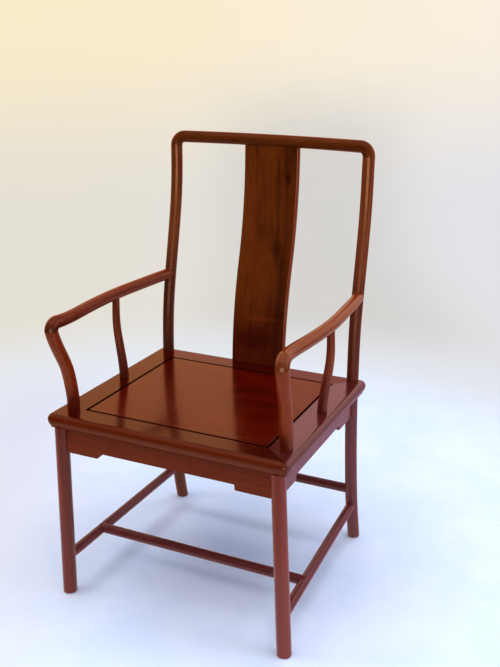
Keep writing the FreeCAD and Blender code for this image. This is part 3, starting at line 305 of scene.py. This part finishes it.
def rosewood(name, along, offset, tone, pith=(0, 0), slant=(0, 0), growth=0.1, streaks=0.45, clouds=0.35,
             polish=0.2, varnish=CLEAR_VARNISH, shine=WHITE_SHINE, gloss=0.5, rubbed=None,
             shades=(), marks=(), gap=None):
    """Varnished rosewood cut with its grain along X, Y or Z.

    offset and pith: where in the log the piece was cut, along it and across it, in metres. slant: in degrees.
    polish: the roughness under the varnish. gap: values of the open line round the seat panel.
    """
    material = bpy.data.materials.new(name)
    material.use_nodes = True
    tree = material.node_tree
    shader = tree.nodes["Principled BSDF"]
    place = tree.nodes.new("ShaderNodeTexCoord").outputs["Object"]
    grain = add_node(tree, "ShaderNodeGroup", {
        "Position": grain_place(tree, place, along, offset, pith, slant),
        "Base": linear(*tone.base),
        "Deep": linear(*tone.deep),
        "Glow": linear(*tone.glow),
        "Growth": growth,
        "Streaks": streaks,
        "Clouds": clouds,
    }, node_tree=ROSEWOOD_GRAIN).outputs
    tree.links.new(stained_and_painted_light(tree, place, grain["Color"], shades, marks, gap), shader.inputs["Base Color"])
    rough = arithmetic(tree, "MULTIPLY", grain["Roughness"], polish)
    if rubbed:
        duller = stepped(tree, axes_of(tree, place)["Z"], rubbed.start, rubbed.end, 1.0, rubbed.times)
        rough = arithmetic(tree, "MULTIPLY", rough, duller)
    tree.links.new(rough, shader.inputs["Roughness"])
    relief = {"Strength": PORE_RELIEF, "Distance": PORE_DEPTH, "Height": grain["Height"]}
    tree.links.new(add_node(tree, "ShaderNodeBump", relief).outputs["Normal"], shader.inputs["Normal"])
    shader.inputs["Specular IOR Level"].default_value = gloss
    shader.inputs["Specular Tint"].default_value = shine
    shader.inputs["Coat Weight"].default_value = 1.0
    shader.inputs["Coat Roughness"].default_value = VARNISH_ROUGHNESS
    shader.inputs["Coat IOR"].default_value = VARNISH_IOR
    shader.inputs["Coat Tint"].default_value = varnish
    return material


# Left- and right-hand tones differ by painted light: the right-hand rear post, side post, arm and seat rail
# are lighter than their fellows, lit from the right, and the right seat rail pinker, a painted reflection of
# the cool light
LEFT_POST_TONE = Tone(base=(98, 52, 22), deep=(70, 33, 14), glow=(116, 65, 29))
RIGHT_POST_TONE = Tone(base=(106, 56, 29), deep=(76, 36, 19), glow=(124, 70, 36))
NECK_TONE = Tone(base=(112, 45, 19), deep=(80, 27, 12), glow=(134, 62, 26))
LEFT_SIDE_TONE = Tone(base=(98, 46, 32), deep=(58, 24, 17), glow=(142, 86, 48))
RIGHT_SIDE_TONE = Tone(base=(112, 53, 44), deep=(68, 29, 23), glow=(154, 93, 60))
LEG_TONE = Tone(base=(110, 37, 21), deep=(74, 22, 12), glow=(130, 48, 27))
LEFT_ARM_TONE = Tone(base=(88, 40, 24), deep=(56, 20, 11), glow=(112, 56, 34))
RIGHT_ARM_TONE = Tone(base=(106, 51, 26), deep=(70, 29, 13), glow=(130, 68, 36))
CREST_TONE = Tone(base=(80, 44, 13), deep=(48, 23, 7), glow=(102, 58, 20))
RAIL_TONE = Tone(base=(51, 15, 5), deep=(38, 10, 4), glow=(66, 24, 10))
RIGHT_RAIL_TONE = Tone(base=(72, 33, 30), deep=(54, 22, 19), glow=(88, 42, 38))
PANEL_TONE = Tone(base=(66, 13, 3), deep=(36, 5, 1), glow=(92, 28, 8))
SPLAT_TONE = Tone(base=(88, 47, 12), deep=(50, 22, 8), glow=(106, 62, 20))
APRON_TONE = Tone(base=(94, 32, 15), deep=(68, 21, 9), glow=(110, 44, 21))
STRETCHER_TONE = Tone(base=(88, 42, 43), deep=(66, 30, 30), glow=(102, 54, 52))

# Open line round the seat panel, whose tongue goes a little way into the rails
TONGUE_REACH = Vector((0.007, 0.007, 0))
LINE_WIDTH = Vector((0.0062, 0.0062, 0))
panel_low, panel_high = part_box("seat_panel")
opening_half = (panel_high - panel_low) / 2 - TONGUE_REACH
SEAT_TOP = panel_high.z
OPEN_LINE = {
    "Middle": (panel_low + panel_high) / 2,
    "Opening": opening_half,
    "Panel": opening_half - LINE_WIDTH,
    "Top": SEAT_TOP,
}

# Stretches of height that shades share, from where they start to where they are full
OVER_SEAT = {"axis": "Z", "start": SEAT_TOP + 0.374, "end": SEAT_TOP + 0.134}
UNDER_SEAT = {"axis": "Z", "start": SEAT_TOP + 0.004, "end": SEAT_TOP - 0.046}
LOWER_LEG = {"axis": "Z", "start": SEAT_TOP - 0.166, "end": SEAT_TOP - 0.346}
NECK_FOOT = {"axis": "Z", "start": SEAT_TOP + 0.064, "end": SEAT_TOP + 0.009}
SIDE_POST_FOOT = {"axis": "Z", "start": SEAT_TOP + 0.134, "end": SEAT_TOP + 0.024}
SPLAT_FOOT = {"axis": "Z", "start": SEAT_TOP + 0.194, "end": SEAT_TOP + 0.074}

# Painted shade darkens the posts just over the seat; below the seat the left post is painted darker as shade
# and the right one plum, a painted reflection of the bluish floor
LEFT_POST_SHADES = (
    Shade(**OVER_SEAT, depth=0.85, tone=(54, 22, 20)),
    Shade(**UNDER_SEAT, depth=0.8, tone=(70, 28, 32)),
)
RIGHT_POST_SHADES = (
    Shade(**OVER_SEAT, depth=0.85, tone=(72, 33, 33)),
    Shade(**UNDER_SEAT, depth=0.9, tone=(88, 54, 76)),
)
# Painted shade darkens the goose-necks and side posts towards their feet, where they meet the seat
NECK_SHADES = (Shade(**NECK_FOOT, depth=0.75, tone=(54, 12, 13)),)
SIDE_POST_SHADES = (Shade(**SIDE_POST_FOOT, depth=0.75, tone=(62, 24, 24)),)

# Towards the floor the front legs take a pinker tone, a painted reflection of the pale floor; the left leg's
# right side is painted darker as shade, and the right leg's right side lighter as painted light
left_leg, right_leg = (sum(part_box(name), Vector()) / 2 for name in ("front_leg_left", "front_leg_right"))
LEFT_LEG_SHADES = (
    Shade(**LOWER_LEG, depth=0.8, tone=(100, 38, 35)),
    Shade("X", start=left_leg.x + 0.001, end=left_leg.x + 0.012, depth=0.5, tone=(68, 23, 15)),
)
RIGHT_LEG_SHADES = (
    Shade(**LOWER_LEG, depth=0.8, tone=(104, 46, 44)),
    Shade("X", start=right_leg.x - 0.004, end=right_leg.x + 0.012, depth=0.45, tone=(128, 60, 50)),
)

# The moulded edge of the seat, duller than its top
EDGE_START = SEAT_TOP - 0.0012
EDGE_END = EDGE_START - 0.002
BRIGHT_EDGE = Rubbed(EDGE_START, EDGE_END, times=1.4)
DULL_EDGE = Rubbed(EDGE_START, EDGE_END, times=3.0)

# Its front face is painted lighter and browner as painted light, from here behind the front rail's face, in
# metres
LIT_FRONT_START = 0.01345
LIT_FRONT_END = 0.00545
rail_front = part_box("seat_rail_front")[0].y
FRONT_EDGE_SHADES = (
    Shade("Y", start=rail_front + LIT_FRONT_START, end=rail_front + LIT_FRONT_END, depth=1.0, tone=(80, 34, 13)),
)

# The front end of the left arm is darker than the rest, and that of the right arm browner
ELBOW_BACK = 0.02
ELBOW_DOWN = 0.03
left_elbow, right_elbow = (
    Vector(((low.x + high.x) / 2, low.y + ELBOW_BACK, high.z - ELBOW_DOWN))
    for low, high in (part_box("arm_post_left"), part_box("arm_post_right"))
)
LEFT_ELBOW = (Mark(left_elbow, spread=(0.05, 0.045, 0.05), depth=0.75, tone=(44, 12, 9)),)
RIGHT_ELBOW = (Mark(right_elbow, spread=(0.06, 0.055, 0.055), depth=0.95, tone=(88, 44, 5)),)

DARK_HEART = (36, 12, 6)
SPLAT_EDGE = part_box("splat")[1].x


def splat_mark(aside, above_seat, half_width, half_height, depth, tone):
    """A patch of another tone that goes right through the splat: a knot, a cloud, or at its foot painted
    shade.
    """
    return Mark(Vector((aside, 0, SEAT_TOP + above_seat)), (half_width, 0, half_height), depth, tone)


# Knots and clouds of the splat; painted shade at its foot; its right half darker; and at its right edge a
# painted highlight along the front arris and painted shade on the side face
SPLAT_MARKS = (
    splat_mark(0.047, 0.464, half_width=0.011, half_height=0.02, depth=0.8, tone=DARK_HEART),
    splat_mark(0.032, 0.291, half_width=0.022, half_height=0.03, depth=0.5, tone=DARK_HEART),
    splat_mark(0.045, 0.259, half_width=0.024, half_height=0.03, depth=0.35, tone=DARK_HEART),
    splat_mark(0.05, 0.134, half_width=0.024, half_height=0.06, depth=0.5, tone=(44, 13, 7)),
    splat_mark(-0.045, 0.394, half_width=0.03, half_height=0.12, depth=0.35, tone=(104, 58, 18)),
    splat_mark(-0.03, 0.254, half_width=0.03, half_height=0.1, depth=0.4, tone=(98, 46, 12)),
    splat_mark(0.0, 0.119, half_width=0.06, half_height=0.01, depth=0.55, tone=(104, 54, 20)),
    # Painted shade at the foot of the splat
    splat_mark(-0.01, 0.064, half_width=0.08, half_height=0.045, depth=0.8, tone=(54, 15, 9)),
)
SPLAT_SHADES = (
    # Painted shade towards its foot, then darker towards its right
    Shade(**SPLAT_FOOT, depth=0.6, tone=(64, 20, 10)),
    Shade("X", start=0.0, end=SPLAT_EDGE - 0.0105, depth=0.4, tone=(58, 26, 8)),
    # Painted highlight along the right front arris, then painted shade on the right side face
    Shade("X", start=SPLAT_EDGE - 0.004, end=SPLAT_EDGE - 0.0025, depth=0.8, tone=(140, 78, 44)),
    Shade("X", start=SPLAT_EDGE - 0.0017, end=SPLAT_EDGE - 0.0011, depth=0.8, tone=(84, 34, 18)),
)

# Varnish of each kind of piece. That of the posts is shinier above than below.
LEG_WOOD = {"varnish": ROSE_VARNISH, "shine": LEG_SHINE, "gloss": 0.45}
STRETCHER_WOOD = {"varnish": PLUM_VARNISH, "shine": STRETCHER_SHINE, "gloss": 0.5}
ROUND_WOOD = {"varnish": HONEY_VARNISH, "shine": WARM_SHINE, "gloss": 0.7}
POST_RUBBED = Rubbed(start=SEAT_TOP + 0.464, end=SEAT_TOP + 0.294, times=1.8)
POST_WOOD = {"varnish": HONEY_VARNISH, "shine": WARM_SHINE, "gloss": 0.75, "rubbed": POST_RUBBED}
LEFT_ARM_WOOD = {"varnish": AMBER_VARNISH, "gloss": 0.6, "polish": 0.28}
RIGHT_ARM_WOOD = {"varnish": PALE_VARNISH, "gloss": 0.7, "polish": 0.26}
SEAT_WOOD = {"varnish": AMBER_VARNISH, "polish": 0.13, "gap": OPEN_LINE, "rubbed": BRIGHT_EDGE}
# The rear and right seat rails get other varnish tints than the other rails: painted reflection
REAR_RAIL_WOOD = {**SEAT_WOOD, "varnish": COPPER_VARNISH}
RIGHT_RAIL_WOOD = {**SEAT_WOOD, "varnish": PLUM_VARNISH, "gloss": 1.0, "rubbed": DULL_EDGE}
CREST_WOOD = {"varnish": AMBER_VARNISH, "shine": STRAW_SHINE, "gloss": 0.4, "streaks": 0.5}
SPLAT_WOOD = {"varnish": AMBER_VARNISH, "growth": 0.12, "streaks": 0.7, "clouds": 0.6}

# Each piece: the way its grain runs, its place along the log, its tones, and what else sets it apart
FINISHES = {
    "rear_leg_left": ("Z", 0.31, LEFT_POST_TONE, {
        "pith": (0.25, 0.03), "shades": LEFT_POST_SHADES, **POST_WOOD}),
    "rear_leg_right": ("Z", 1.74, RIGHT_POST_TONE, {
        "pith": (-0.29, -0.02), "shades": RIGHT_POST_SHADES, **POST_WOOD}),
    "front_leg_left": ("Z", 2.93, LEG_TONE, {
        "pith": (0.3, 0.3), "shades": LEFT_LEG_SHADES, **LEG_WOOD}),
    "front_leg_right": ("Z", 4.11, LEG_TONE, {
        "pith": (-0.24, 0.28), "shades": RIGHT_LEG_SHADES, **LEG_WOOD}),
    "arm_post_left": ("Z", 5.37, NECK_TONE, {
        "pith": (0.3, 0.2), "shades": NECK_SHADES, **ROUND_WOOD}),
    "arm_post_right": ("Z", 6.52, NECK_TONE, {
        "pith": (-0.3, 0.2), "shades": NECK_SHADES, **ROUND_WOOD}),
    "side_post_left": ("Z", 7.18, LEFT_SIDE_TONE, {
        "pith": (0.24, 0.05), "streaks": 0.75, "shades": SIDE_POST_SHADES, **ROUND_WOOD}),
    "side_post_right": ("Z", 8.45, RIGHT_SIDE_TONE, {
        "pith": (-0.31, 0.02), "streaks": 0.6, "shades": SIDE_POST_SHADES, **ROUND_WOOD}),
    "armrest_left": ("Y", 9.63, LEFT_ARM_TONE, {
        "pith": (0.33, 0.7), "marks": LEFT_ELBOW, **LEFT_ARM_WOOD}),
    "armrest_right": ("Y", 10.29, RIGHT_ARM_TONE, {
        "pith": (-0.25, 0.71), "marks": RIGHT_ELBOW, **RIGHT_ARM_WOOD}),
    "crest_rail": ("X", 11.58, CREST_TONE, {
        "pith": (-1.05, -0.3), **CREST_WOOD}),
    "splat": ("Z", 12.94, SPLAT_TONE, {
        "pith": (-0.02, -0.11), "slant": (7, 2), "marks": SPLAT_MARKS, "shades": SPLAT_SHADES, **SPLAT_WOOD}),
    "seat_rail_front": ("X", 13.37, RAIL_TONE, {
        "pith": (-0.44, 0.3), "shades": FRONT_EDGE_SHADES, **SEAT_WOOD}),
    "seat_rail_rear": ("X", 14.81, RAIL_TONE, {"pith": (-0.43, -0.2), **REAR_RAIL_WOOD}),
    "seat_rail_left": ("Y", 15.26, RAIL_TONE, {"pith": (0.25, 0.48), **SEAT_WOOD}),
    "seat_rail_right": ("Y", 16.42, RIGHT_RAIL_TONE, {"pith": (-0.25, 0.49), **RIGHT_RAIL_WOOD}),
    "seat_panel": ("X", 17.77, PANEL_TONE, {"pith": (-0.35, 0.05), "clouds": 0.7, **SEAT_WOOD}),
    "batten_left": ("Y", 18.64, RAIL_TONE, {}),
    "batten_right": ("Y", 19.15, RAIL_TONE, {}),
    "apron_front": ("X", 20.38, APRON_TONE, {"pith": (-0.4, 0.25), **ROUND_WOOD}),
    "apron_rear": ("X", 21.71, APRON_TONE, {"pith": (-0.4, -0.2)}),
    "apron_left": ("Y", 22.44, APRON_TONE, {"pith": (0.27, 0.4)}),
    # The right apron's lilac varnish is painted reflection of the cool light at the right
    "apron_right": ("Y", 23.09, APRON_TONE, {"pith": (-0.27, 0.4), "varnish": LILAC_VARNISH}),
    "side_stretcher_left": ("Y", 24.63, STRETCHER_TONE, {"pith": (0.3, 0.1), **STRETCHER_WOOD}),
    "side_stretcher_right": ("Y", 25.17, STRETCHER_TONE, {"pith": (-0.3, 0.1), **STRETCHER_WOOD}),
    "cross_stretcher": ("X", 26.82, STRETCHER_TONE, {"pith": (-0.1, 0.1), **STRETCHER_WOOD}),
    "rear_stretcher": ("X", 27.35, STRETCHER_TONE, {"pith": (-0.15, -0.27), **STRETCHER_WOOD}),
}

for name, (along, offset, tone, extra) in FINISHES.items():
    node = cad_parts[name]
    material = rosewood(name.replace("_", " ") + " rosewood", along, offset, tone, **extra)
    node.data.materials.clear()
    node.data.materials.append(material)

# Floor and backdrop: a round pale sweep, the floor cool and the wall warm towards its top
SWEEP_RADIUS = 4.2
SWEEP_HEIGHT = 4.4
SWEEP_CURVE = 0.9
ACROSS_ROOM = (0.913, 0.407, 0)


def make_sweep():
    bpy.ops.mesh.primitive_circle_add(vertices=96, radius=SWEEP_RADIUS, fill_type="NGON", location=(0, 0, 0))
    sweep = bpy.context.object
    sweep.name = "studio_sweep"
    bpy.ops.object.mode_set(mode="EDIT")
    bpy.ops.mesh.select_all(action="SELECT")
    bpy.ops.mesh.region_to_loop()
    bpy.ops.mesh.extrude_region_move(TRANSFORM_OT_translate={"value": (0, 0, SWEEP_HEIGHT)})
    bpy.ops.object.mode_set(mode="OBJECT")
    rim = sweep.modifiers.new("floor_curve", "BEVEL")
    rim.width = SWEEP_CURVE
    rim.segments = 16
    rim.limit_method = "ANGLE"
    rim.angle_limit = math.radians(60)
    bpy.ops.object.modifier_apply(modifier=rim.name)
    bpy.ops.object.shade_smooth_by_angle(angle=math.radians(30))
    bpy.ops.object.mode_set(mode="EDIT")
    bpy.ops.mesh.select_all(action="SELECT")
    bpy.ops.mesh.normals_make_consistent(inside=True)
    bpy.ops.object.mode_set(mode="OBJECT")
    return sweep


def paper_light(tree, split):
    """How bright varnish mirrors the sweep: a lit strip of paper behind the chair, and little before it."""
    aside = arithmetic(tree, "ABSOLUTE", arithmetic(tree, "SUBTRACT", split["X"], 0.3))
    strip = stepped(tree, aside, 1.1, 2.0, at_start=0.8, at_end=0.06)
    wall = stepped(tree, split["Z"], 0.3, 0.9)
    wide = arithmetic(tree, "MAXIMUM", strip, wall)
    behind = stepped(tree, split["Y"], -1.5, -0.6, at_start=0.05, at_end=1.15)
    return arithmetic(tree, "MULTIPLY", wide, behind)


def wall_colour(tree, height, across):
    """Warm paper, warmer towards its top and left, with a painted shadow of the chair that dims it behind the
    right part of the back.
    """
    to_right = stepped(tree, across, -1.4, 2.2)
    low_wall = blended(tree, to_right, linear(229, 224, 212), linear(226, 227, 234))
    high_wall = blended(tree, to_right, linear(250, 236, 202), linear(248, 239, 224))
    wall = blended(tree, stepped(tree, height, 0.3, 1.5), low_wall, high_wall)
    # Painted shadow of the chair on the wall
    from_back = arithmetic(tree, "ABSOLUTE", arithmetic(tree, "SUBTRACT", across, 0.45))
    beside = stepped(tree, from_back, 0.9, 0.2, at_end=0.55)
    painted_chair_shadow = arithmetic(tree, "MULTIPLY", beside, stepped(tree, height, 1.3, 0.6))
    return blended(tree, painted_chair_shadow, wall, linear(202, 199, 194))


def floor_colour(tree, place, split, across, radius):
    """Cool creased paper, plainer on the left, with the grey floor of the room beyond its edges."""
    crease = noise(tree, stretched(tree, place, across=3.5, along=3.5), detail=4.0, roughness=0.6)
    paper = blended(tree, stepped(tree, crease, 0.35, 0.65), linear(209, 225, 254), linear(219, 231, 255))
    to_left = stepped(tree, across, -0.2, -0.7)
    paper = blended(tree, to_left, paper, linear(208, 211, 224))
    off_side = stepped(tree, arithmetic(tree, "ABSOLUTE", split["X"]), 1.2, 1.7)
    off_front = stepped(tree, split["Y"], -1.0, -1.5)
    off_paper = arithmetic(tree, "MAXIMUM", off_side, off_front)
    room = arithmetic(tree, "MULTIPLY", off_paper, stepped(tree, radius, 1.6, 1.9))
    return blended(tree, room, paper, linear(120, 118, 116))


def sweep_paint():
    """Lit paper near the chair and an even backdrop further off, which is tinted where varnish mirrors it."""
    material = bpy.data.materials.new("pale sweep")
    material.use_nodes = True
    tree = material.node_tree
    tree.nodes.remove(tree.nodes["Principled BSDF"])
    place = tree.nodes.new("ShaderNodeTexCoord").outputs["Object"]
    split = axes_of(tree, place)
    radius = length_of(tree, place_arithmetic(tree, "MULTIPLY", place, (1, 1, 0)))
    inputs = {0: place, 1: ACROSS_ROOM}
    across = add_node(tree, "ShaderNodeVectorMath", inputs, operation="DOT_PRODUCT").outputs["Value"]
    mottle = noise(tree, stretched(tree, place, across=2.2, along=2.2), detail=3.0)
    height = arithmetic(tree, "ADD", split["Z"], arithmetic(tree, "MULTIPLY", mottle, 0.2))

    onto_wall = stepped(tree, radius, 1.3, 2.3)
    backdrop = blended(tree, onto_wall, linear(230, 235, 244), wall_colour(tree, height, across))
    evening = blended(tree, stepped(tree, across, -0.3, 0.5), linear(255, 249, 236), linear(252, 236, 248))
    tinted = blended(tree, 1.0, backdrop, evening, "MULTIPLY")
    rays = tree.nodes.new("ShaderNodeLightPath").outputs
    mirrored = rays["Is Glossy Ray"]
    lit_mirrored = arithmetic(tree, "MULTIPLY", mirrored, paper_light(tree, split))
    seen = add_node(tree, "ShaderNodeEmission", {
        "Color": blended(tree, mirrored, backdrop, tinted),
        "Strength": arithmetic(tree, "MAXIMUM", rays["Is Camera Ray"], lit_mirrored),
    })

    colour = floor_colour(tree, place, split, across, radius)
    floor = add_node(tree, "ShaderNodeBsdfDiffuse", {"Color": colour})
    far = arithmetic(tree, "MULTIPLY", rays["Is Camera Ray"], stepped(tree, radius, 1.0, 1.6))
    share = arithmetic(tree, "MAXIMUM", far, mirrored)
    mixed = add_node(tree, "ShaderNodeMixShader", {0: share, 1: floor.outputs[0], 2: seen.outputs[0]})
    tree.links.new(mixed.outputs[0], tree.nodes["Material Output"].inputs["Surface"])
    return material


sweep = make_sweep()
sweep.data.materials.append(sweep_paint())


# Light: a wide soft ceiling, a doorway behind the camera, and windows at the right, the left and the rear
def soft_light(name, place, aim, width, height, power, colour, mirrored=False):
    bpy.ops.object.light_add(type="AREA", location=place)
    lamp = bpy.context.object
    lamp.name = name
    lamp.rotation_euler = (Vector(aim) - Vector(place)).to_track_quat("-Z", "Y").to_euler()
    lamp.data.shape = "RECTANGLE"
    lamp.data.size = width
    lamp.data.size_y = height
    lamp.data.energy = power
    lamp.data.color = linear(*colour)[:3]
    lamp.visible_glossy = mirrored
    lamp.visible_camera = False


soft_light("ceiling_light", place=(0, -1.1, 4.2), aim=(0, -1.1, 0),
           width=5.0, height=5.0, power=205, colour=(255, 253, 250))
soft_light("doorway_light", place=(1.25, -3.3, 0.5), aim=(0, 0, 0.5),
           width=3.0, height=1.0, power=42, colour=(255, 238, 214), mirrored=True)
soft_light("cool_window", place=(2.9, 0.1, 1.3), aim=(0, 0, 0.4),
           width=1.6, height=2.0, power=42, colour=(226, 226, 255))
soft_light("warm_window", place=(-2.7, -1.3, 1.3), aim=(0, 0, 0.4),
           width=1.4, height=1.8, power=26, colour=(255, 244, 226))
soft_light("rear_window", place=(1.3, 3.0, 1.7), aim=(0, 0, 0.6),
           width=1.6, height=1.4, power=26, colour=(240, 240, 255))

ROOM_COLOUR = linear(236, 240, 250)
ROOM_STRENGTH = 0.5
world = bpy.data.worlds.new("room_light")
bpy.context.scene.world = world
world.use_nodes = True
world.node_tree.nodes["Background"].inputs["Color"].default_value = ROOM_COLOUR
world.node_tree.nodes["Background"].inputs["Strength"].default_value = ROOM_STRENGTH

# Camera, where the photograph was taken from: its turns in degrees, its place in metres, and its focal length
# in pixels of the photograph, whose longer side spans the sensor
AZIMUTH, ELEVATION, ROLL = 24.0502, 18.0674, 0.7672
CAMERA_PLACE = (0.839776, -1.720434, 1.233219)
FOCAL_PIXELS = 879.388
PHOTO_HEIGHT_PIXELS = 667
SENSOR_MM = 36


def make_camera():
    azimuth, elevation, roll = (math.radians(angle) for angle in (AZIMUTH, ELEVATION, ROLL))
    back = Vector((
        math.sin(azimuth) * math.cos(elevation),
        -math.cos(azimuth) * math.cos(elevation),
        math.sin(elevation),
    ))
    level_right = Vector((0, 0, 1)).cross(back).normalized()
    level_up = back.cross(level_right)
    right = level_right * math.cos(roll) + level_up * math.sin(roll)
    up = level_up * math.cos(roll) - level_right * math.sin(roll)
    data = bpy.data.cameras.new("view_camera")
    data.sensor_width = SENSOR_MM
    data.lens = FOCAL_PIXELS / PHOTO_HEIGHT_PIXELS * SENSOR_MM
    camera = bpy.data.objects.new("view_camera", data)
    bpy.context.scene.collection.objects.link(camera)
    turn = Matrix((right, up, back)).transposed().to_4x4()
    camera.matrix_world = Matrix.Translation(CAMERA_PLACE) @ turn
    bpy.context.scene.camera = camera


make_camera()
bpy.context.scene.view_settings.view_transform = "Standard"
